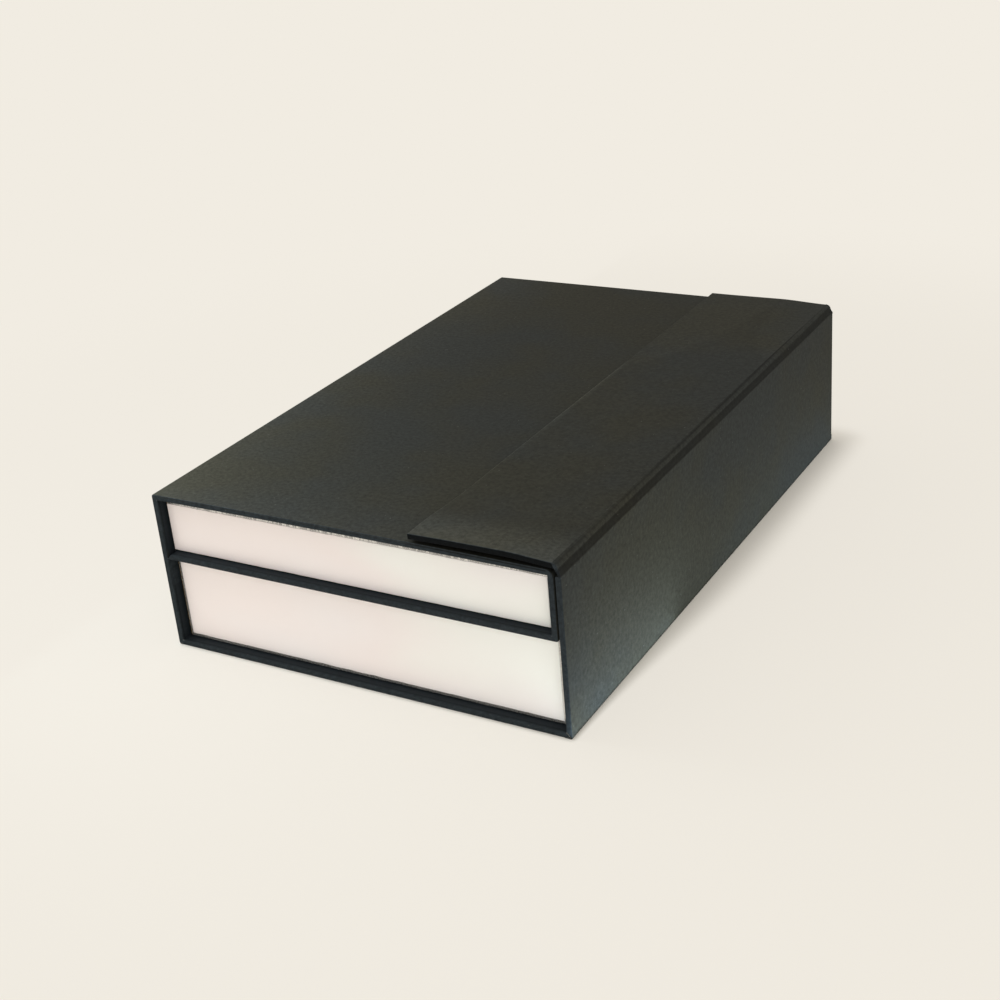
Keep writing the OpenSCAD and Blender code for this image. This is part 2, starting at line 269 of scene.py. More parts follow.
def nest(levels, counts, steps=5):
    """Rounded rectangles one inside or above another, joined into one closed surface.

    A level is (u0, u1, v0, v1, radius, w). Its loop is the inner rectangle's side point plus
    radius times the unit direction, which turns a quarter circle at each corner.
    """
    levels = np.array(levels, float)
    sides, turns = [], []
    t = np.linspace(0, np.pi / 2, steps + 1)
    marks = [(0, 0, -1, 0), (1, 0, 0, -1), (1, 1, 1, 0), (0, 1, 0, 1)]
    for i, (u, v, du, dv) in enumerate(marks):
        eu, ev = marks[(i + 1) % 4][2:]
        direction = np.outer(np.cos(t), (du, dv)) + np.outer(np.sin(t), (eu, ev))
        sides.append(np.tile((u, v), (steps + 1, 1)).astype(float))
        turns.append(direction)
        nu, nv = marks[(i + 1) % 4][:2]
        side = run((0.0, 0.0), (1.0, 0.0), counts[i % 2], 0.004)[:, :1]
        sides.append(np.array([u, v]) + side * np.array([nu - u, nv - v]))
        turns.append(np.tile((eu, ev), (len(side), 1)).astype(float))
    s, d = np.concatenate(sides), np.concatenate(turns)
    u0, u1, v0, v1, r, w = (levels[:, i, None] for i in range(6))
    grid = np.empty((len(levels), len(s), 3))
    grid[..., 0] = u0 + r + s[:, 0] * (u1 - u0 - 2 * r) + r * d[:, 0]
    grid[..., 1] = v0 + r + s[:, 1] * (v1 - v0 - 2 * r) + r * d[:, 1]
    grid[..., 2] = w
    return grid


def nest_faces(rows, cols):
    """Faces between neighbouring loops of a nest."""
    at = np.arange(rows * cols).reshape(rows, cols)
    nxt = np.roll(at, -1, axis=1)
    return np.stack([at[:-1], nxt[:-1], nxt[1:], at[1:]], -1).reshape(-1, 4)


def patch_faces(rows, cols):
    """Faces of an open grid."""
    at = np.arange(rows * cols).reshape(rows, cols)
    return np.stack([at[:-1, :-1], at[1:, :-1], at[1:, 1:], at[:-1, 1:]], -1).reshape(-1, 4)


def ripple(points, scale, seed, waves=9):
    """Smooth unevenness from -1 to 1: the mean of sines with seeded directions and phases."""
    rng = np.random.default_rng(seed)
    way = rng.normal(size=(waves, 3))
    way /= np.linalg.norm(way, axis=1)[:, None]
    pitch = rng.uniform(0.6, 1.7, waves) * 2 * np.pi / scale
    phase = rng.uniform(0, 2 * np.pi, waves)
    return np.sin((points @ way.T) * pitch + phase).sum(-1) / waves * 1.8


def bell(x, middle, width):
    """1 at the middle and falling off on both sides: e to the power of -(distance / width)^2."""
    return np.exp(-(((x - middle) / width) ** 2))


def smooth(x, low, high):
    """0 below low, 1 above high, and the curve 3t^2 - 2t^3 between."""
    t = np.clip((x - low) / (high - low), 0, 1)
    return t * t * (3 - 2 * t)


def keep_mesh(name, parts, finish):
    """Puts grids into one mesh, closes seams and poles and turns faces outwards.

    Each part is a grid of points and the function that gives its faces.
    """
    points, faces, start = [], [], 0
    for grid, faces_of in parts:
        flat, quads = grid.reshape(-1, 3), faces_of(*grid.shape[:2])
        a, b, c, d = (flat[quads[:, i]] for i in range(4))
        volume = (np.cross(b - a, c - a) * a).sum() + (np.cross(c - a, d - a) * a).sum()
        points.append(flat)
        faces.append((quads if volume > 0 else quads[:, ::-1]) + start)
        start += len(flat)
    points, faces = np.concatenate(points), np.concatenate(faces)
    mesh = bpy.data.meshes.new(name)
    mesh.vertices.add(len(points))
    mesh.vertices.foreach_set("co", points.astype(np.float32).ravel())
    mesh.loops.add(faces.size)
    mesh.loops.foreach_set("vertex_index", faces.astype(np.int32).ravel())
    mesh.polygons.add(len(faces))
    mesh.polygons.foreach_set("loop_start", np.arange(0, faces.size, 4, dtype=np.int32))
    mesh.polygons.foreach_set("use_smooth", np.ones(len(faces), bool))
    mesh.update(calc_edges=True)
    work = bmesh.new()
    work.from_mesh(mesh)
    bmesh.ops.remove_doubles(work, verts=work.verts, dist=MERGE)
    bmesh.ops.dissolve_degenerate(work, edges=work.edges, dist=1e-7)
    work.to_mesh(mesh)
    work.free()
    mesh.set_sharp_from_angle(angle=SHARP)
    if not len(mesh.polygons):
        raise RuntimeError(f"{name} has no faces")
    mesh.materials.append(finish)
    piece = bpy.data.objects.new(name, mesh)
    bpy.context.collection.objects.link(piece)
    return piece


# ---- Shader writing ----


def both_ways(operation):
    """An operator's two forms: with the value first, and with it second."""

    def first(self, other):
        return self.finish.maths(operation, self, other)

    def second(self, other):
        return self.finish.maths(operation, other, self)

    return first, second


class Value:
    """A shader number or colour: arithmetic on it adds Math nodes to its tree."""

    def __init__(self, finish, socket):
        self.finish, self.socket = finish, socket

    __add__, __radd__ = both_ways("ADD")
    __sub__, __rsub__ = both_ways("SUBTRACT")
    __mul__, __rmul__ = both_ways("MULTIPLY")
    __truediv__, __rtruediv__ = both_ways("DIVIDE")

    def between(self, low, high):
        """0 below low and 1 above high, smoothly."""
        return self.finish.add(
            "ShaderNodeMapRange", {"interpolation_type": "SMOOTHSTEP"},
            {"Value": self, "From Min": low, "From Max": high},
        )

    def most(self, other):
        """The larger of two values."""
        return self.finish.maths("MAXIMUM", self, other)


class Finish:
    """A procedural material under construction."""

    def __init__(self, name, world=False):
        self.made = (bpy.data.worlds if world else bpy.data.materials).new(name)
        self.made.use_nodes = True
        self.tree = self.made.node_tree
        self.tree.nodes.clear()

    def add(self, kind, settings=None, sockets=None, out=0):
        """Adds a node of a kind, applies its settings, then sets or links its sockets."""
        node = self.tree.nodes.new(kind)
        for key, value in (settings or {}).items():
            setattr(node, key, value)
        for key, value in (sockets or {}).items():
            socket = node.inputs[key]
            if isinstance(value, Value):
                self.tree.links.new(value.socket, socket)
            elif socket.type == "RGBA" and len(value) == 3:
                socket.default_value = (*value, 1.0)
            else:
                socket.default_value = value
        return None if out is None else Value(self, node.outputs[out])

    def maths(self, operation, *terms):
        """A step of arithmetic on values and numbers."""
        return self.add("ShaderNodeMath", {"operation": operation}, dict(enumerate(terms)))

    def place(self, scale=(1, 1, 1)):
        """The point on the object, scaled."""
        where = self.add("ShaderNodeTexCoord", out="Object")
        return self.add("ShaderNodeMapping", None, {"Vector": where, "Scale": scale})

    def noise(self, where, scale, detail=2.0, rough=0.5):
        """A cloudy value between 0 and 1; scale is the number of clouds in a metre."""
        return self.add(
            "ShaderNodeTexNoise", None,
            {"Vector": where, "Scale": scale, "Detail": detail, "Roughness": rough},
        )

    def vector(self, operation, *terms, out=0):
        """A step of vector maths."""
        return self.add(
            "ShaderNodeVectorMath", {"operation": operation}, dict(enumerate(terms)), out
        )

    def axis(self, where, letter):
        """One coordinate of a point."""
        return self.add("ShaderNodeSeparateXYZ", None, {"Vector": where}, letter)

    def shown(self):
        """1 for rays from the camera, off a mirror or through glass."""
        rays = ("Is Camera Ray", "Is Glossy Ray", "Is Transmission Ray")
        camera, mirror, glass = (self.add("ShaderNodeLightPath", out=ray) for ray in rays)
        return camera.most(mirror).most(glass)

    def blend(self, share, first, second):
        """A colour between two colours."""
        return self.add(
            "ShaderNodeMix", {"data_type": "RGBA"}, {"Factor": share, 6: first, 7: second}, 2
        )

    def mark(self, name):
        """A value kept on the mesh's points."""
        return self.add("ShaderNodeAttribute", {"attribute_name": name}, out="Fac")

    def close(self, shader):
        """Links the shader to the output and gives the finished material or world."""
        kind = "World" if isinstance(self.made, bpy.types.World) else "Material"
        self.add(f"ShaderNodeOutput{kind}", None, {"Surface": shader}, None)
        return self.made

    def surface(self, base, rough, height=None, distance=0.0001, strength=1.0, **fixed):
        """Closes the material with one surface shader; height drives its bump."""
        sockets = {"Base Color": base, "Roughness": rough}
        sockets.update({key.replace("_", " "): value for key, value in fixed.items()})
        if height is not None:
            sockets["Normal"] = self.add(
                "ShaderNodeBump", None,
                {"Height": height, "Distance": distance, "Strength": strength},
            )
        return self.close(self.add("ShaderNodeBsdfPrincipled", None, sockets))


def cover_paper():
    """Matt black paper: fine grain, olive and teal clouds, paler flecks, painted highlights on
    edges and painted shade in folds and inner faces.
    """
    wrap = bpy.context.scene.gift_box_wrap
    f = Finish("cover_paper")
    where = f.place()
    grain = f.noise(where, 620, 2.0, 0.55)
    fine = f.noise(where, 2600)
    clouds = f.noise(where, 14, 3.0, 0.55)
    flecks = f.add(
        "ShaderNodeTexVoronoi", {"feature": "F1"}, {"Vector": where, "Scale": 330.0}
    )
    fleck = (1 - flecks.between(0.05, 0.13)) * f.noise(where, 90).between(0.52, 0.66)
    olive = tuple(c * k for c, k in zip(wrap.cover, (1.05, 1.01, 0.86)))
    teal = tuple(c * k for c, k in zip(wrap.cover, (0.95, 1.0, 1.05)))
    tint = f.blend(clouds.between(0.35, 0.65), teal, olive)
    # painted cool shade: the panels' ends and the bays' turned-in paper take the cooler, darker
    # copy of the cover paper
    tint = f.blend(f.mark("panel_end"), tint, tuple(wrap.cover_edge))
    # the shading mark is painted light and shade: below 0 it paints shade in folds, grooves and
    # inner faces, above 0 it paints highlights on edges and light near the front
    depth = 1 + (grain - 0.5) * 1.2 + (fine - 0.5) * 0.6
    depth = depth * (1 + f.mark("painted_shading"))
    shade = f.add("ShaderNodeVectorMath", {"operation": "SCALE"}, {0: tint, "Scale": depth})
    shade = f.blend(fleck * 0.5, shade, (0.11, 0.11, 0.10))
    return f.surface(
        shade, 0.60 + 0.16 * grain, grain * 0.6 + fine * 0.4, 0.00007, 0.6,
        Specular_IOR_Level=0.05,
    )


def lining_paper():
    """Black lining: smoother than the cover, with short fibres."""
    wrap = bpy.context.scene.gift_box_wrap
    f = Finish("lining_paper")
    where = f.place((1, 0.25, 1))
    fibre = f.noise(where, 1100, 3.0, 0.6)
    clouds = f.noise(f.place(), 20)
    paler = tuple(min(c * 1.5, 1.0) for c in wrap.lining)
    shade = f.blend(fibre.between(0.35, 0.75) * 0.6 + clouds * 0.2, tuple(wrap.lining), paler)
    return f.surface(shade, 0.55 + 0.2 * fibre, fibre, 0.00004, 0.5, Specular_IOR_Level=0.1)


def grey_board():
    """Greyboard: pressed fibres of several greys, with brown flecks."""
    f = Finish("grey_board")
    where = f.place((1, 0.5, 1))
    fibre = f.noise(where, 900, 4.0, 0.6)
    blots = f.noise(f.place(), 160)
    flecks = f.add("ShaderNodeTexVoronoi", None, {"Vector": f.place(), "Scale": 420.0})
    shade = f.blend(fibre.between(0.3, 0.7), (0.20, 0.195, 0.18), (0.33, 0.32, 0.295))
    shade = f.blend(blots.between(0.5, 0.75) * 0.35, shade, (0.24, 0.205, 0.16))
    shade = f.blend((1 - flecks.between(0.04, 0.1)) * 0.6, shade, (0.10, 0.085, 0.07))
    return f.surface(shade, 0.85 + 0.1 * fibre, fibre, 0.00008, 0.7, Specular_IOR_Level=0.25)


def kraft_tape():
    """Brown kraft tape with long fibres."""
    f = Finish("kraft_tape")
    fibre = f.noise(f.place((1, 1, 0.15)), 1200, 3.0, 0.6)
    shade = f.blend(fibre.between(0.3, 0.7), (0.33, 0.22, 0.115), (0.47, 0.33, 0.19))
    return f.surface(shade, 0.6 + 0.2 * fibre, fibre, 0.00004, 0.5, Specular_IOR_Level=0.35)


def plated_steel():
    """Plated steel with fine turning marks and faint spots."""
    f = Finish("plated_steel")
    marks = f.noise(f.place((1, 12, 1)), 700)
    spots = f.noise(f.place(), 500, 3.0)
    shade = f.blend(spots.between(0.4, 0.7), (0.62, 0.62, 0.61), (0.48, 0.48, 0.49))
    return f.surface(shade, 0.24 + 0.18 * marks, marks, 0.00002, 0.4, Metallic=1.0)


def pearl_foil():
    """Satin pearl foil of the fronts, with rose and mint clouds and a painted sheen that turns
    rose towards the left and mint towards the right.
    """
    foil = bpy.context.scene.gift_box_foil
    f = Finish("pearl_foil")
    where = f.place((1, 1, 2.2))
    clouds = f.noise(where, 11, 1.0, 0.4)
    # painted sheen: the rose and mint casts drift across X as the pearl's angle-dependent sheen
    # does
    drift = f.axis(f.place(), "X")
    warm = (clouds + drift * -2.4).between(0.3, 0.62)
    green = (clouds + drift * 3.2).between(0.52, 0.86)
    grain = f.noise(f.place(), 2600)
    waves = f.noise(f.place((1, 1, 0.5)), 60)
    shade = f.blend(warm, tuple(foil.facing), tuple(foil.blush))
    shade = f.blend(green, shade, tuple(foil.mint))
    height = grain * 0.15 + waves * 0.85
    return f.surface(
        shade, 0.34 + 0.10 * grain, height, 0.00006, 0.25, Metallic=0.12,
        Specular_IOR_Level=0.5,
    )


def wrap_foil():
    """Bright foil paper of the drawers, with fine creases and painted dark reflections in dashes
    along the rim.
    """
    foil = bpy.context.scene.gift_box_foil
    f = Finish("wrap_foil")
    where = f.place()
    creases = f.add(
        "ShaderNodeTexVoronoi", {"feature": "DISTANCE_TO_EDGE"},
        {"Vector": f.place((1, 1, 0.6)), "Scale": 420.0},
    )
    grain = f.noise(where, 2400)
    waves = f.noise(where, 120, 3.0)
    darker = tuple(c * 0.8 for c in foil.wrap)
    shade = f.blend(waves.between(0.35, 0.65), tuple(foil.wrap), darker)
    line = creases.between(0.0, 0.05)
    edge = f.mark("rim")
    # painted reflection: dark dashes along the rim stand in for the crumpled foil mirroring the
    # dark case
    dashes = f.noise(f.place((1, 1, 0.2)), 650).between(0.40, 0.56)
    shade = f.blend(dashes * edge * 0.75, shade, (0.09, 0.09, 0.09))
    height = waves * 0.8 + line * edge * 0.35 + grain * 0.05
    return f.surface(
        shade, 0.20 + 0.14 * grain, height, 0.0002, 0.5, Metallic=0.85,
    )


def tray_paper():
    """Pale lining of the drawers' floors."""
    f = Finish("tray_paper")
    fibre = f.noise(f.place((1, 0.4, 1)), 1300, 3.0)
    clouds = f.noise(f.place(), 25)
    shade = f.blend(clouds.between(0.3, 0.7), (0.74, 0.70, 0.64), (0.68, 0.635, 0.58))
    shade = f.blend(fibre.between(0.55, 0.8) * 0.4, shade, (0.82, 0.79, 0.74))
    return f.surface(
        shade, 0.42 + 0.15 * fibre, fibre, 0.00004, 0.4, Metallic=0.25, Specular_IOR_Level=0.4
    )


def once(maker):
    """The material that a function makes, made on its first use."""
    return bpy.data.materials.get(maker.__name__) or maker()


def places_of(mesh):
    """The places of a mesh's points, one row each."""
    co = np.empty(len(mesh.vertices) * 3)
    mesh.vertices.foreach_get("co", co)
    return co.reshape(-1, 3)


def mark_points(piece, name, test):
    """Keeps a number on each point, worked out from its place."""
    layer = piece.data.attributes.new(name, "FLOAT", "POINT")
    layer.data.foreach_set("value", test(places_of(piece.data)).astype(np.float32))


def from_ends(points):
    """Distance behind the front or before the back, whichever is nearer."""
    return np.minimum(points[:, 1] - FRONT, BACK - points[:, 1])


def panel_end(points):
    """1 on the front and back ends of the panels, 0 behind their arrises."""
    return 1 - smooth(from_ends(points), 0.12 * MM, 0.40 * MM)


def inside_bays(points):
    """1 on the faces that bound the two bays, with the turned-in paper's front part."""
    x, z = points[:, 0], points[:, 2]
    edge = 0.05 * MM
    walls = (x > LEFT + PANEL - edge) & (x < RIGHT - PANEL + edge)
    upper = (z > SHELF + PANEL - edge) & (z < TOP - PANEL + 0.6 * MM) & (x < INNER - PANEL + edge)
    lower = (z < SHELF + edge) & (z > PANEL - edge)
    return (walls & (upper | lower)).astype(float)


def case_end(points):
    """The panels' ends and the turned-in paper."""
    return np.maximum(panel_end(points), inside_bays(points))


def case_tone(points):
    """Painted shade into the bays and in the top's front groove, a painted highlight along the
    top's front arris, and painted light towards the top's left and front.
    """
    x, z = points[:, 0], points[:, 2]
    behind = smooth(from_ends(points), 0.05 * MM, 0.35 * MM)
    deep = smooth(from_ends(points), 0.05 * MM, SETBACK)
    # painted highlight along the top's front arris
    arris_highlight = bell(from_ends(points), 0.2 * MM, 0.15 * MM) * (z > TOP - 0.2 * MM)
    below = TOP + top_rise(points) - z
    # painted shade in the hollow below the top's front edge
    groove = bell(below, 0.62 * MM, 0.24 * MM) * (1 - behind)
    groove *= (x > LEFT + 3 * MM) & (x < INNER - 3 * MM)
    ahead = points[:, 1] - FRONT
    # painted light: the top grows lighter towards its left edge and its front, and a little
    # darker elsewhere
    painted_lighting = 0.50 * np.exp((LEFT - x) / (26 * MM)) + 0.36 * np.exp(-ahead / (24 * MM)) - 0.12
    # painted shadow where the flap's lifted front end stands over the top
    under = smooth(x, FLAP_LO.x, FLAP_LO.x + 2 * MM)
    painted_lighting -= 0.8 * under * (1 - smooth(ahead, 2 * MM, 10 * MM))
    painted_shading = 0.3 * arris_highlight - 0.5 * groove + painted_lighting * (below < PANEL / 2) * behind
    # painted shade on the bays' faces, deepening into the recess
    return painted_shading - (0.1 + 0.45 * deep) * inside_bays(points)


def flap_tone(points):
    """Painted shade on the ends and below, painted highlights along the free edge's upper arris
    and the front one, and painted light near the front.
    """
    x, z = points[:, 0], points[:, 2]
    away = from_ends(points)
    end = 1 - smooth(away, 0.03 * MM, 0.30 * MM)
    high = z > FLAP_LO.z + 0.72 * PANEL
    # painted highlight along the free edge's upper arris, fainter at the front
    edge = bell(x - FLAP_LO.x, 0.25 * MM, 0.45 * MM) * high * (away > 0.3 * MM)
    edge *= 0.3 + 0.7 * smooth(points[:, 1], -100 * MM, 20 * MM)
    # painted highlight along the front's upper arris, broken up
    front = bell(away, 0.34 * MM, 0.12 * MM) * high
    broken = ripple(points * (1, 0, 0), 3 * MM, 5) * 0.3 + 0.7
    # painted light near the front end of the top face, a little darker elsewhere
    painted_lighting = 0.74 * (1 - smooth(away, 3 * MM, 26 * MM)) * (points[:, 1] < 0) - 0.10
    painted_shading = 0.95 * edge + 0.35 * front * broken + painted_lighting * high * (1 - end)
    # painted shade on the flap's ends
    return painted_shading - 0.85 * end * (1 - 0.4 * front)


def plain_tone(points):
    """No change anywhere."""
    return np.zeros(len(points))


def cover_sheet(name, parts, painted_shading=plain_tone, end=panel_end):
    """A piece of black cover paper, with the two marks that its finish reads: where to paint cool
    shade, and how much painted light and shade to give.
    """
    piece = keep_mesh(name, parts, once(cover_paper))
    mark_points(piece, "panel_end", end)
    mark_points(piece, "painted_shading", painted_shading)
    return piece


def lining_sheet(name, parts):
    """A piece of black lining paper."""
    return keep_mesh(name, parts, once(lining_paper))


# ---- Shape changes over a panel ----


def top_rise(points):
    """The top's rise: a half wave across its width, which fades towards the back."""
    wrap = bpy.context.scene.gift_box_wrap
    across = np.clip((points[..., 0] - LEFT - PANEL) / (INNER - LEFT - 2 * PANEL), 0, 1)
    fade = 1 - smooth(points[..., 1], FRONT + 20 * MM, FRONT + 150 * MM)
    on_top = points[..., 2] > TOP - PANEL - 0.01 * MM
    return wrap.top_bow * np.sin(np.pi * across) ** 0.8 * (0.15 + 0.85 * fade) * on_top


def bowed(points):
    """Points of the top raised by its bow."""
    points[..., 2] += top_rise(points)
    return points


def lifted(points):
    """The flap's lie: its free edge sinks to the top, and the front corner curls up."""
    flap = bpy.context.scene.gift_box_flap
    share = np.clip((FLAP_HI.x - points[..., 0]) / (FLAP_HI.x - FLAP_LO.x), 0, 1)
    ahead = points[..., 1] - FRONT
    sunk = flap.settle * smooth(share, 0, 1) * smooth(ahead, 4 * MM, flap.curl_depth)
    curl = flap.curl * smooth(share, -0.04, 0.34) * (1 - smooth(ahead, 2 * MM, flap.curl_depth))
    tip = -0.25 * MM * smooth(share, 0.7, 1) * (1 - smooth(ahead, 0, 16 * MM))
    sunk += flap.back_settle * smooth(ahead, 90 * MM, DEPTH)
    sunk += flap.back_corner * smooth(ahead, 150 * MM, DEPTH) * (1 - smooth(share, 0, 0.4))
    points[..., 2] += (curl + tip - sunk) * smooth(points[..., 2], CREASE_LO.z, FLAP_LO.z)
    return points


# ---- Pieces ----


def case_folds(wrap):
    """The folds from lower left to shelf: outer and inner corner, outer and inner radius."""
    p = PANEL
    return [
        ((LEFT, 0.0), (LEFT + p, p), wrap.left_crease, INNER_FOLD),
        ((LEFT, TOP), (LEFT + p, TOP - p), wrap.left_crease, INNER_FOLD),
        ((INNER, TOP), (INNER - p, TOP - p), wrap.inner_crease, INNER_FOLD),
        ((INNER, SHELF), (INNER - p, SHELF + p), SHELF_FOLD, INNER_FOLD),
    ]


def shelf_end():
    """The outer and the inner point of the shelf's bevelled end."""
    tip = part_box("shelf_board")[0].x
    return (tip, SHELF), (tip + PANEL - 2 * PAPER, SHELF + PANEL)


def lower_left_arc(wrap, last):
    """Points of the lower left crease from the mitre, at 45 degrees, to the angle last."""
    r = wrap.left_crease
    t = np.linspace(np.pi / 4, last, 5)[:, None]
    return np.array([LEFT + r, r]) - r * np.concatenate([np.cos(t), np.sin(t)], 1)


def case_paths(wrap):
    """The case's folded row of panels from the lower left mitre to the shelf's tip."""
    p = PANEL
    start = ((LEFT, wrap.left_crease), (LEFT + p, p + 0.3 * MM))
    outer, inner = folded_path(start, case_folds(wrap)[1:], shelf_end(), (14, 60, 8, 40))
    # the lower left crease: a quarter circle outside, the mitre's inner end inside
    arc = lower_left_arc(wrap, 0)[:-1]
    hub = np.tile((LEFT + p, p), (4, 1)) + np.linspace(0, 0.25 * MM, 4)[:, None] * (0, 1)
    return np.concatenate([arc, outer]), np.concatenate([hub, inner])


def mitre_lines(grid, corners):
    """1 on the lines from outer to inner corners in the X-Z plane, fading out beside them."""
    best = np.zeros(grid.shape[:-1])
    for outer, inner in corners:
        way = np.subtract(inner, outer)
        way /= np.linalg.norm(way)
        off = grid[..., [0, 2]] - np.array(outer)
        aside = off[..., 0] * way[1] - off[..., 1] * way[0]
        near = bell(aside, 0, MITRE_WIDTH) * (np.abs(off @ way) < 1.6 * PANEL)
        best = np.maximum(best, near)
    return best


def dip_mitres(grid, section, corners, wrap):
    """Draws the folded corner lines on the front and the back in by the mitre's dip."""
    a, b = section[:, 0], section[:, 1]
    face = (np.minimum(b, DEPTH - b) < wrap.arris * 0.6) & (a > 0.1 * PANEL)
    sign = np.where(b < DEPTH / 2, 1, -1)
    grid[..., 1] += wrap.mitre_dip * mitre_lines(grid, corners) * face * sign


def wrap_case(wrap, section):
    """The cover paper over left wall, top, inner wall and shelf, with the shelf's glued tab."""
    outer, inner = case_paths(wrap)
    grid = sweep(outer, inner, PANEL, section)
    dip_mitres(grid, section, [fold[:2] for fold in case_folds(wrap)], wrap)
    # below the top's front edge the paper is drawn in over the board's end
    a, b = section[:, 0], section[:, 1]
    top_run = (outer[:, 1] > TOP - 0.1 * MM) & (outer[:, 0] > LEFT + 3 * MM)
    hollow = bell(a, 0.62 * MM, 0.26 * MM) * (b < 2 * wrap.arris)
    grid[..., 1] += wrap.edge_groove * top_run[:, None] * hollow * (b < DEPTH / 2)
    near, far = LEFT + PANEL, LEFT + PANEL + PAPER
    tab = nest(
        [(FRONT, y, SHELF - TAB, SHELF, 0, x)
         for y, x in ((FRONT, near), (BACK, near), (BACK, far), (FRONT, far))], (2, 2), 1,
    )[..., [2, 0, 1]]
    cover = cover_sheet(
        "case_wrap", [(bowed(grid), ladder_faces), (tab, nest_faces)], case_tone, case_end
    )
    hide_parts("case_cover_paper")
    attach(cover, "case")


def bore_top_board(wrap):
    """The top board with its two pockets, drawn in behind the cover's groove and bowed."""
    lo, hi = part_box("top_board")
    x0, x1 = lo.x + 2.0 * MM, hi.x - 2.0 * MM
    sheet = sheet_levels(x0, x1, lo.y + wrap.edge_groove, hi.y, lo.z, hi.z, 16)
    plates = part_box("keeper_plates")
    pockets = pocket_cutters(plates, plates[0].z - POCKET_CLEAR, hi.z + PAST)
    core = nest(sheet, (60, 90), 1)
    # the left end is mitred to its wall, and the right end stays inside the round crease
    high = (core[..., 2] - lo.z) / (hi.z - lo.z)
    core[..., 0] += np.where(core[..., 0] < x0 + TOUCH, -1, 0) * (0.6 + 1.2 * high) * MM
    core[..., 0] += np.where(core[..., 0] > x1 - TOUCH, 1, 0) * (0.6 - 0.7 * high) * MM
    board = bored("top_core", core, pockets, bowed)
    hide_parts("top_board")
    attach(board, "case")


def line_case(wrap):
    """The lining: one sheet on the inner faces from the bottom's bevel to the shelf's tip."""
    p, count = PANEL, 70
    reach = (LINING_HI.x, 0.0), (LINING_HI.x, p)
    outer, inner = folded_path(reach, case_folds(wrap), shelf_end(), (20, 14, 60, 8, 40))
    span = np.linspace(SETBACK, DEPTH - SETBACK, count)
    there = np.stack([np.full(count, p - PAPER), span], 1)
    sheet = np.concatenate([there, np.stack([np.full(count, p), span[::-1]], 1)])
    lining = lining_sheet("case_lining", [(bowed(sweep(outer, inner, p, sheet)), ladder_faces)])
    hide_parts("case_lining_paper")
    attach(lining, "case")


def wrap_bottom(wrap, section):
    """The bottom's paper: mitred to the left wall, and bevelled over the side wall's strip."""
    p = PANEL
    gap = RIGHT - LINING_HI.x - p
    arc = lower_left_arc(wrap, np.pi / 2)
    step = STRIP_LO.x
    bevel = RIGHT - gap - PAPER
    outer = np.concatenate([
        arc, run(arc[-1], (step, 0.0), 50), [[step, 0.0], [step, PAPER]],
        run((step, PAPER), (bevel, PAPER), 2), [[bevel, PAPER]],
    ])
    x = outer[:, 0]
    inner_x = np.where(x > step, step - 1 * MM + (x - step) / (bevel - step) * (
        LINING_HI.x - step + 1 * MM), np.minimum(x, step - 1 * MM))
    inner_x = np.maximum.accumulate(np.maximum(inner_x, LEFT + p) + np.arange(len(x)) * 1e-7)
    inner = np.stack([inner_x, np.full(len(x), p)], 1)
    grid = sweep(outer, inner, PANEL, section)
    dip_mitres(grid, section, [((LEFT, 0.0), (LEFT + p, p))], wrap)
    bottom = cover_sheet("bottom_wrap", [(grid, ladder_faces)], case_tone, case_end)
    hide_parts("bottom_cover_paper")
    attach(bottom, "case")


def make_case():
    """The papers round the spiral of boards, inside and out, and the bored top board."""
    wrap = bpy.context.scene.gift_box_wrap
    skin = turned_sheet(DEPTH, PANEL, 0, wrap.arris, SETBACK)
    under = turned_sheet(DEPTH, PANEL, PAPER, wrap.arris, SETBACK)
    section = np.concatenate([skin, under[::-1]])
    wrap_case(wrap, section)
    bore_top_board(wrap)
    line_case(wrap)
    wrap_bottom(wrap, section)


def wrap_levels(u0, u1, v0, v1, w0, w1, r, rings=1):
    """Levels of a paper that covers face w1, turns over the rounded edges and in on face w0.

    They run from the middle of the outer face round the arrises to the turned-in edge, and back
    on the paper's other side.
    """
    half = min(u1 - u0, v1 - v0) / 2
    reach = np.linspace(half, r + 0.3 * MM, rings)
    inside = r - PAPER
    face = [(i, w1) for i in reach]
    face += [*quarter((r, w1 - r), r, (0, 1), (-1, 0), 5)]
    face += [*quarter((r, w0 + r), r, (-1, 0), (0, -1), 5)]
    face += [(SETBACK, w0), (SETBACK, w0 + PAPER)]
    face += [*quarter((r, w0 + r), inside, (0, -1), (-1, 0), 3)]
    face += [*quarter((r, w1 - r), inside, (-1, 0), (0, 1), 3)]
    face += [(i, w1 - PAPER) for i in reach[::-1]]
    return [(u0 + i, u1 - i, v0 + i, v1 - i, max(0.3 * MM - i, 0.0), w) for i, w in face]


def sheet_levels(u0, u1, v0, v1, w0, w1, rings=1):
    """Levels of a flat sheet or board from the middle of face w1 over its edges to face w0."""
    half = min(u1 - u0, v1 - v0) / 2
    reach = np.linspace(half, 0.0, rings + 1)
    face = [(i, w1) for i in reach] + [(i, w0) for i in reach[::-1]]
    return [(u0 + i, u1 - i, v0 + i, v1 - i, 0.0, w) for i, w in face]


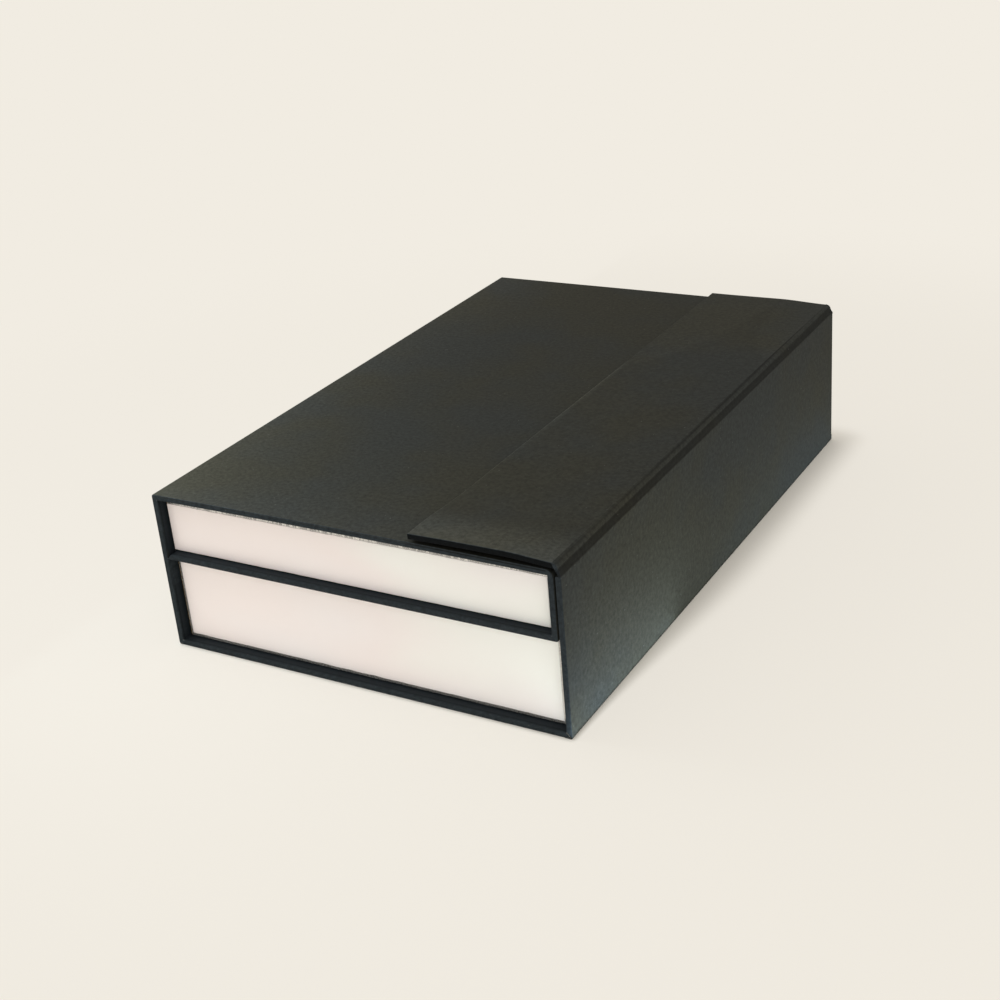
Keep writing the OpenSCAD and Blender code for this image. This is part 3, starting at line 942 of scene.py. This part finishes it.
def make_side_wall():
    """The outer right wall's papers and the folded strip that joins it to the bottom."""
    wrap = bpy.context.scene.gift_box_wrap
    p, r = PANEL, wrap.arris
    z0 = WALL_LO.z
    levels = wrap_levels(FRONT, BACK, z0, WALL_HI.z, RIGHT - p, RIGHT, r, rings=12)
    grid = nest(levels, (60, 16))[..., [2, 0, 1]]
    # the lower edge is bevelled at 45 degrees
    bevel = np.clip(RIGHT - PAPER - grid[..., 0], 0, p)
    grid[..., 2] += bevel * (1 - smooth(grid[..., 2], z0, z0 + 3 * MM))
    wall = cover_sheet("side_wall_wrap", [(grid, nest_faces)])
    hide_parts("side_wall_cover_paper")
    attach(wall, "side_wall")

    edge = SETBACK
    sheet = sheet_levels(
        FRONT + edge, BACK - edge, z0 + p + edge, WALL_HI.z - edge, RIGHT - p, RIGHT - p + PAPER
    )
    grid = nest(sheet, (60, 16), 1)[..., [2, 0, 1]]
    lining = lining_sheet("side_wall_lining", [(grid, nest_faces)])
    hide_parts("side_wall_lining_paper")
    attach(lining, "side_wall")

    # the folded strip, as an L with a rounded corner, a hair outside the wall's paper
    start = ((STRIP_LO.x, 0.0), (STRIP_LO.x, PAPER))
    end = ((RIGHT + 0.005 * MM, STRIP_HI.z), (RIGHT - PAPER, STRIP_HI.z))
    fold = [((RIGHT + 0.03 * MM, 0.0), (RIGHT - PAPER, PAPER), 0.5 * MM, 0.35 * MM)]
    outer, inner = folded_path(start, fold, end, (4, 4), 8)
    grid = sweep(outer, inner, PAPER, band_section(PAPER, DEPTH))
    strip = cover_sheet("lower_crease_strip", [(grid, ladder_faces)])
    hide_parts("lower_crease_paper")
    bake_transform(strip)


def disc(end, box, z0, z1, grow=0.0):
    """A disc with softened edges at the front (end 0) or back (end 1) end of a pair's box."""
    lo, hi = box
    radius = (hi.x - lo.x) / 2
    x = (lo.x + hi.x) / 2
    y = lo.y + radius if end == 0 else hi.y - radius
    soft = 0.15 * MM
    sizes = [(0.0, z1), (radius - soft, z1), (radius + grow, z1 - soft),
             (radius + grow, z0 + soft), (radius - soft, z0), (0.0, z0)]
    return nest([(x - q, x + q, y - q, y + q, q, z) for q, z in sizes], (1, 1), 10)


def pocket_cutters(box, z0, z1):
    """The two discs that bore a board for the pair in a box, from z0 to z1."""
    return [disc(end, box, z0, z1, POCKET_CLEAR) for end in (0, 1)]


def bored(name, grid, cutters, shape):
    """A greyboard with its pockets cut out, then bent as its panel lies."""
    board = keep_mesh(name, [(grid, nest_faces)], once(grey_board))
    for pocket in cutters:
        cutter = keep_mesh("cutter", [(pocket, nest_faces)], once(grey_board))
        cut = board.modifiers.new("pocket", "BOOLEAN")
        cut.operation, cut.solver, cut.object = "DIFFERENCE", "EXACT", cutter
        scene = bpy.context.evaluated_depsgraph_get()
        made = bpy.data.meshes.new_from_object(board.evaluated_get(scene))
        board.modifiers.clear()
        board.data = made
        bpy.data.objects.remove(cutter)
    bent = shape(places_of(board.data)).astype(np.float32)
    board.data.vertices.foreach_set("co", bent.ravel())
    board.data.update()
    return board


def band_section(thick, depth, count=60):
    """A thin closed section: along the outer face and back along the inner one."""
    span = np.concatenate([[0.0], run((0, 0), (depth, 0), count)[:, 0], [depth]])
    there = np.stack([np.zeros_like(span), span], 1)
    return np.concatenate([there, np.stack([np.full_like(span, thick), span[::-1]], 1)])


def make_flap():
    """The flap's papers, board and magnets."""
    wrap = bpy.context.scene.gift_box_wrap
    x0, x1, z0, z1 = FLAP_LO.x, FLAP_HI.x, FLAP_LO.z, FLAP_HI.z
    levels = wrap_levels(x0, x1, FRONT, BACK, z0, z1, wrap.arris, rings=16)
    flap = cover_sheet("flap_wrap", [(lifted(nest(levels, (24, 90))), nest_faces)], flap_tone)
    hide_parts("flap_cover_paper")
    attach(flap, "flap")

    edge = SETBACK
    sheet = sheet_levels(x0 + edge, x1 - edge, FRONT + edge, BACK - edge, z0, z0 + PAPER, 16)
    lining = lining_sheet("flap_lining", [(lifted(nest(sheet, (24, 90), 1)), nest_faces)])
    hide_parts("flap_lining_paper")
    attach(lining, "flap")

    lo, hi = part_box("flap_board")
    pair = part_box("flap_magnets")
    sheet = sheet_levels(lo.x, hi.x, lo.y, hi.y, lo.z, hi.z, 16)
    pockets = pocket_cutters(pair, lo.z - PAST, pair[1].z + POCKET_CLEAR)
    board = bored("flap_core", nest(sheet, (24, 90), 1), pockets, lifted)
    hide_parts("flap_board")
    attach(board, "flap")

    discs = [(lifted(disc(end, pair, pair[0].z, pair[1].z)), nest_faces) for end in (0, 1)]
    magnets = keep_mesh("flap_discs", discs, once(plated_steel))
    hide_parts("flap_magnets")
    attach(magnets, "flap")


def make_crease():
    """The flap's crease in two halves.

    It is a quarter ellipse from the wall's face to the flap's, which it laps by half a
    millimetre, with a wide fold beside the wall and a narrow one beside the flap.
    """
    lap, proud = 0.5 * MM, 0.02 * MM
    low = np.array([CREASE_HI.x + proud, CREASE_LO.z - lap])
    high = np.array([CREASE_LO.x - lap, CREASE_HI.z + proud])
    way = (high - low) / np.linalg.norm(high - low)
    inward = np.array([-way[1], way[0]])
    s = np.linspace(0, 1, 61)[:, None]
    lie = bpy.context.scene.gift_box_flap
    wide = smooth(s, 0.06, 0.20) * (1 - smooth(s, 0.46, 0.60))
    narrow = bell(s, 0.87, 0.05)
    share = np.concatenate([1 - np.cos(s * np.pi / 2), np.sin(s * np.pi / 2)], 1)
    line = low + (high - low) * share + inward * (lie.fold * wide + 0.1 * MM * narrow)
    # the crease's inner face stays straight, so that it bridges the gap when the flap lies open
    thick = 2 * PAPER
    back = low + (high - low) * s + inward * thick

    def crease_tone(points):
        """Painted shade in both folds, and a painted highlight on the ridge's top."""
        at = ((points[:, [0, 2]] - low) @ way) / np.linalg.norm(high - low)
        # painted shade in the wide fold and the narrow one
        wide = smooth(at, 0.04, 0.16) * (1 - smooth(at, 0.50, 0.62))
        narrow = bell(at, 0.87, 0.07)
        # painted highlight on the ridge's top, broken up
        ridge_highlight = bell(at, 0.70, 0.06) * (ripple(points, 5 * MM, 3) * 0.5 + 0.5)
        further = smooth(points[:, 1] - FRONT, 20 * MM, 150 * MM)
        return -0.5 * wide - (0.2 + 0.3 * further) * narrow + 0.22 * ridge_highlight * (1 - 0.6 * further)

    bend = way * 1.3 * MM
    for name, cut, bodies, (a, b) in (
        ("crease_lower", slice(0, 31), ("side_wall", "flap_crease"), (low, low + bend)),
        ("crease_upper", slice(30, 61), ("flap_crease", "flap"), (high - bend, high)),
    ):
        outer, inner = line[cut], back[cut]
        grid = lifted(sweep(outer, inner, thick, band_section(thick, DEPTH, 90)))
        half = cover_sheet(name, [(grid, ladder_faces)], crease_tone)
        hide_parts("flap_crease_paper")
        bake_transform(half)


def tray_levels(lo, hi, wall, floor, corner):
    """Levels of a drawer's wrap: under the bottom, up outside, over the rim, down to the floor,
    and back on the paper's other face."""
    r, p = 0.35 * MM, PAPER
    half = min(hi.x - lo.x, hi.y - lo.y) / 2
    top = hi.z - lo.z
    track = [(half, 0.0), (half * 0.5, 0.0), (r + 2 * MM, 0.0)]
    track += [*quarter((r, r), r, (0, -1), (-1, 0), 4)]
    track += [(0.0, z) for z in np.linspace(r + 1 * MM, top - 3 * MM, 8)]
    track += [(0.0, top - d * MM) for d in (2.4, 1.9, 1.5, 1.1, 0.8)]
    track += [*quarter((r, top - r), r, (-1, 0), (0, 1), 4)]
    track += [*quarter((wall - r, top - r), r, (0, 1), (1, 0), 4)]
    track += [(wall, top - 2 * MM), (wall, floor + 1 * MM), (wall, floor)]
    track += [(wall - p, floor), (wall - p, top - p), (p, top - p), (p, p), (half, p)]
    return [
        (lo.x + i, hi.x - i, lo.y + i, hi.y - i,
         min(max(corner - i, 0.05 * MM), (half - i) * 0.9), lo.z + z)
        for i, z in track
    ]


def wrap_drawer(drawer, key, number):
    """A drawer's foil wrap, crumpled along the rim and most at the front."""
    foil = bpy.context.scene.gift_box_foil
    lo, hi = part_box(f"{key}_wrap_paper")
    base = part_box(f"{key}_base_board")
    wall = base[0].x - lo.x + PAPER
    grid = nest(tray_levels(lo, hi, wall, base[1].z - lo.z, 0.4 * MM), (300, 200), 4)
    high = smooth(grid[..., 2], hi.z - 1.6 * MM, hi.z - 0.5 * MM)
    high *= 1 - smooth(np.abs(grid[..., 1] - lo.y), 60 * MM, 90 * MM) * 0.6
    high[-5:] = 0
    for scale, share in ((4.5 * MM, 0.55), (1.9 * MM, 0.45)):
        for axis in range(3):
            uneven = ripple(grid, scale, 11 + 7 * number + axis)
            grid[..., axis] += foil.crumple * share * high * uneven
    wrap = keep_mesh(f"{key}_wrap", [(grid, nest_faces)], once(wrap_foil))
    mark_points(wrap, "rim", lambda p: smooth(p[:, 2], hi.z - 3 * MM, hi.z - 0.6 * MM))
    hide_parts(f"{key}_wrap_paper")
    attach(wrap, drawer)


def face_drawer(drawer, key, number, drop, sink, aside, rag):
    """A drawer's facing, with uneven edges.

    Its top edge lies lower by drop, its lower edge by sink, and its left edge is moved out by
    aside, all in millimetres. rag is the lower edge's unevenness.
    """
    lo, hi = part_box(f"{key}_front_facing")
    r, wide = 0.06 * MM, 1.0
    face = [(wide, lo.y), (4 * MM, lo.y), (1 * MM, lo.y), (0.3 * MM, lo.y), (r, lo.y),
            (0.0, lo.y + r), (0.0, hi.y), (1 * MM, hi.y), (wide, hi.y)]
    half = (hi.z - lo.z) / 2
    sheet = [
        (lo.x + i, hi.x - i, lo.z + i, hi.z - i, max(0.2 * MM - i, 0), y)
        for i, y in ((min(i, half), y) for i, y in face)
    ]
    grid = nest(sheet, (260, 40), 3)[..., [0, 2, 1]]
    rough_edge = ripple(grid * (1, 0, 1), 7 * MM, 31 + number) * 0.6
    rough_edge += ripple(grid * (1, 0, 1), 1.6 * MM, 41 + number) * 0.4
    near_top = smooth(grid[..., 2], hi.z - 2 * MM, hi.z)
    near_low = 1 - smooth(grid[..., 2], lo.z, lo.z + 2 * MM)
    grid[..., 0] -= (1 - smooth(grid[..., 0], lo.x, lo.x + 3 * MM)) * aside * MM
    grid[..., 2] += near_top * (rough_edge * 0.14 - drop) * MM
    grid[..., 2] += near_low * (rough_edge * rag - sink) * MM
    facing = keep_mesh(f"{key}_facing", [(grid, nest_faces)], once(pearl_foil))
    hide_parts(f"{key}_front_facing")
    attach(facing, drawer)


def make_drawers():
    """Both drawers' foils; the upper facing sits low and to the left of its middle."""
    edges = (0.85, 1.05, 1.05, 0.06), (0.05, -0.2, 0.0, 0.14)
    for number, drawer in enumerate(("upper_drawer", "lower_drawer")):
        key = drawer.split("_")[0]
        wrap_drawer(drawer, key, number)
        face_drawer(drawer, key, number, *edges[number])


def finish_boards():
    """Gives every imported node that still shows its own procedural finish."""
    finishes = {
        "board": once(grey_board),
        "tapes": once(kraft_tape),
        "plates": once(plated_steel),
        "magnets": once(plated_steel),
        "floor_lining": once(tray_paper),
        "lining_paper": once(lining_paper),
        "cover_paper": once(cover_paper),
    }
    for name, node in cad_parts.items():
        for ending, finish in finishes.items():
            if name.endswith(ending):
                node.data.materials.clear()
                node.data.materials.append(finish)


def floor_finish(stage):
    """The floor: lit beside the box, and shown in its plain colour away from it.

    The share of the plain colour is small at the footprint and grows with the distance from it,
    and more slowly towards the back, so that the box keeps the shadow that widens backwards.
    """
    pale = tuple(stage.backdrop)
    f = Finish("studio_floor")
    where = f.place()
    distance = f.vector("LENGTH", where, out="Value")
    lit = f.add(
        "ShaderNodeBsdfPrincipled", None,
        {"Base Color": pale, "Roughness": 0.9 + f.noise(where, 900) * 0.1,
         "Specular IOR Level": 0.1},
    )
    glow = f.add("ShaderNodeEmission", None, {"Color": pale, "Strength": 1.0})
    # distance from the footprint: the length of what the place lies outside it in X and Y
    outside = f.vector("SUBTRACT", f.vector("ABSOLUTE", where), (RIGHT, BACK, 0.0))
    beside = f.vector("LENGTH", f.vector("MAXIMUM", outside, (0.0, 0.0, 0.0)), out="Value")
    width = f.axis(where, "Y").between(FRONT - 0.005, FRONT + 0.16) * 0.88 + 0.12
    near = (beside / width).between(0.0, 0.020)
    near = near * (stage.floor_glow - stage.contact) + stage.contact
    near = near.most((f.axis(where, "X") * -1).between(-LEFT, 0.06 - LEFT) * 0.94)
    far = distance.between(0.28, 0.50)
    far = (far + near * (1 - far)) * f.shown()
    return f.close(f.add("ShaderNodeMixShader", None, {"Fac": far, 1: lit, 2: glow}))


def make_floor(stage):
    """A flat square floor just under the box."""
    side = np.linspace(-12, 12, 25)
    grid = np.stack(np.meshgrid(side, side, [-0.00002], indexing="ij"), -1)[:, :, 0]
    floor = keep_mesh("floor", [(grid, patch_faces)], floor_finish(stage))
    if floor.data.polygons[0].normal.z < 0:
        floor.data.flip_normals()


def make_daylight(stage):
    """The even light, which camera, mirrors and glass see as the backdrop's colour."""
    w = Finish("studio_light", world=True)
    even = w.add("ShaderNodeBackground", None, {"Color": DAYLIGHT, "Strength": stage.sky})
    pale = w.add("ShaderNodeBackground", None, {"Color": tuple(stage.backdrop), "Strength": 1.0})
    share = w.shown()
    w.close(w.add("ShaderNodeMixShader", None, {"Fac": share, 1: even, 2: pale}))
    bpy.context.scene.world = w.made


def make_lamps(stage):
    """A broad lamp overhead, two soft ones in front and two lying on the floor at the right."""
    key = bpy.data.lights.new("overhead", "SUN")
    key.energy, key.angle, key.color = stage.sun, math.radians(32), SUNLIGHT
    place_lamp(key, (-0.14, -0.12, 1.0), (0.0, 0.0, 0.0))
    x, y, z = RIGHT + 0.0005, FRONT - 0.01, 0.0004
    for name, power, tint, size, place, target in (
        ("front", stage.front, WARM, (0.5, 0.4), (0.46, -0.66, 0.30), (0.0, -0.02, 0.03)),
        ("left", stage.left, COOL, (0.10, 0.10), (-0.13, -0.150, 0.21), (-0.08, -0.12, 0.07)),
        ("low", stage.low, COLD, (0.040, 0.20), (x + 0.020, y + 0.20, z), None),
        ("low_front", stage.low_front, COLD, (0.036, 0.10), (x + 0.018, y + 0.05, z), None),
    ):
        lamp = bpy.data.lights.new(name, "AREA")
        lamp.energy, lamp.color = power, tint
        lamp.shape, (lamp.size, lamp.size_y) = "RECTANGLE", size
        # a lamp on the floor shines up and isn't mirrored anywhere
        place_lamp(lamp, place, target or (*place[:2], 1.0), hidden=target is None)


def make_camera():
    """The camera at the solved place."""
    camera = bpy.data.cameras.new("camera")
    camera.lens, camera.sensor_width = LENS, SENSOR
    camera.shift_y = SHIFT_Y
    camera.clip_start, camera.clip_end = 0.01, 50.0
    view = bpy.data.objects.new("camera", camera)
    turn = Matrix([
        [r, u, -a] for r, u, a in zip(CAMERA_RIGHT, CAMERA_UP, CAMERA_AHEAD)
    ]).to_4x4()
    turn.translation = CAMERA_AT
    view.matrix_world = turn
    bpy.context.collection.objects.link(view)
    bpy.context.scene.camera = view


def make_stage():
    """Floor, backdrop light, lamps and the camera."""
    stage = bpy.context.scene.gift_box_stage
    make_floor(stage)
    make_daylight(stage)
    make_lamps(stage)
    make_camera()
    bpy.context.scene.view_settings.view_transform = "Standard"


def place_lamp(data, place, target, hidden=False):
    """Puts a lamp at a place and turns it to a target; a hidden one isn't mirrored anywhere."""
    lamp = bpy.data.objects.new(data.name, data)
    turn = Matrix(look_axes(np.subtract(target, place))).to_4x4()
    turn.translation = place
    lamp.matrix_world = turn
    lamp.visible_camera = False
    lamp.visible_glossy = not hidden
    bpy.context.collection.objects.link(lamp)


def look_axes(ahead):
    """A turn whose -Z axis points ahead, and which stands upright unless ahead is straight up."""
    back = -np.array(ahead, float) / np.linalg.norm(ahead)
    side = np.cross((0, 0, 1) if abs(back[2]) < 0.999 else (0, 1, 0), back)
    side /= np.linalg.norm(side)
    rise = np.cross(back, side)
    return np.stack([side, rise, back], 1).tolist()


# ---- Operators, panel and registration ----


class BuildCase(Operator):
    """Wraps the case's row of panels in black paper and lines it"""

    bl_idname = "gift_box.case"
    bl_label = "Case papers"

    def execute(self, context):
        make_case()
        return {"FINISHED"}


class BuildSideWall(Operator):
    """Wraps the outer right wall and folds the strip under it"""

    bl_idname = "gift_box.side_wall"
    bl_label = "Side wall papers"

    def execute(self, context):
        make_side_wall()
        return {"FINISHED"}


class BuildFlap(Operator):
    """Wraps the flap and its crease"""

    bl_idname = "gift_box.flap"
    bl_label = "Flap and crease"

    def execute(self, context):
        make_flap()
        make_crease()
        return {"FINISHED"}


class BuildDrawers(Operator):
    """Wraps both drawers in foil and faces their fronts"""

    bl_idname = "gift_box.drawers"
    bl_label = "Drawer foils"

    def execute(self, context):
        make_drawers()
        return {"FINISHED"}


class FinishBoards(Operator):
    """Gives boards, tapes, steel and linings their finishes"""

    bl_idname = "gift_box.boards"
    bl_label = "Board finishes"

    def execute(self, context):
        finish_boards()
        return {"FINISHED"}


class BuildStage(Operator):
    """Builds floor, lamps and camera"""

    bl_idname = "gift_box.stage"
    bl_label = "Stage"

    def execute(self, context):
        make_stage()
        return {"FINISHED"}


STEPS = (BuildCase, BuildSideWall, BuildFlap, BuildDrawers, FinishBoards, BuildStage)
SETTINGS = {
    "gift_box_wrap": WrapSettings,
    "gift_box_flap": FlapSettings,
    "gift_box_foil": FoilSettings,
    "gift_box_stage": StageSettings,
}


class GiftBoxPanel(Panel):
    """Lists the settings and the building steps"""

    bl_idname = "VIEW3D_PT_gift_box"
    bl_label = "Gift box"
    bl_space_type = "VIEW_3D"
    bl_region_type = "UI"
    bl_category = "Gift box"

    def draw(self, context):
        for key, kind in SETTINGS.items():
            box = self.layout.box()
            for name in kind.__annotations__:
                box.prop(getattr(context.scene, key), name)
        for step in STEPS:
            self.layout.operator(step.bl_idname)


def register():
    for kind in (*SETTINGS.values(), *STEPS, GiftBoxPanel):
        bpy.utils.register_class(kind)
    for key, kind in SETTINGS.items():
        setattr(bpy.types.Scene, key, PointerProperty(type=kind))


def unregister():
    for key in SETTINGS:
        delattr(bpy.types.Scene, key)
    for kind in reversed((*SETTINGS.values(), *STEPS, GiftBoxPanel)):
        bpy.utils.unregister_class(kind)


def main():
    """Builds everything in order."""
    register()
    for step in STEPS:
        group, name = step.bl_idname.split(".")
        getattr(getattr(bpy.ops, group), name)()


if __name__ == "__main__":
    main()
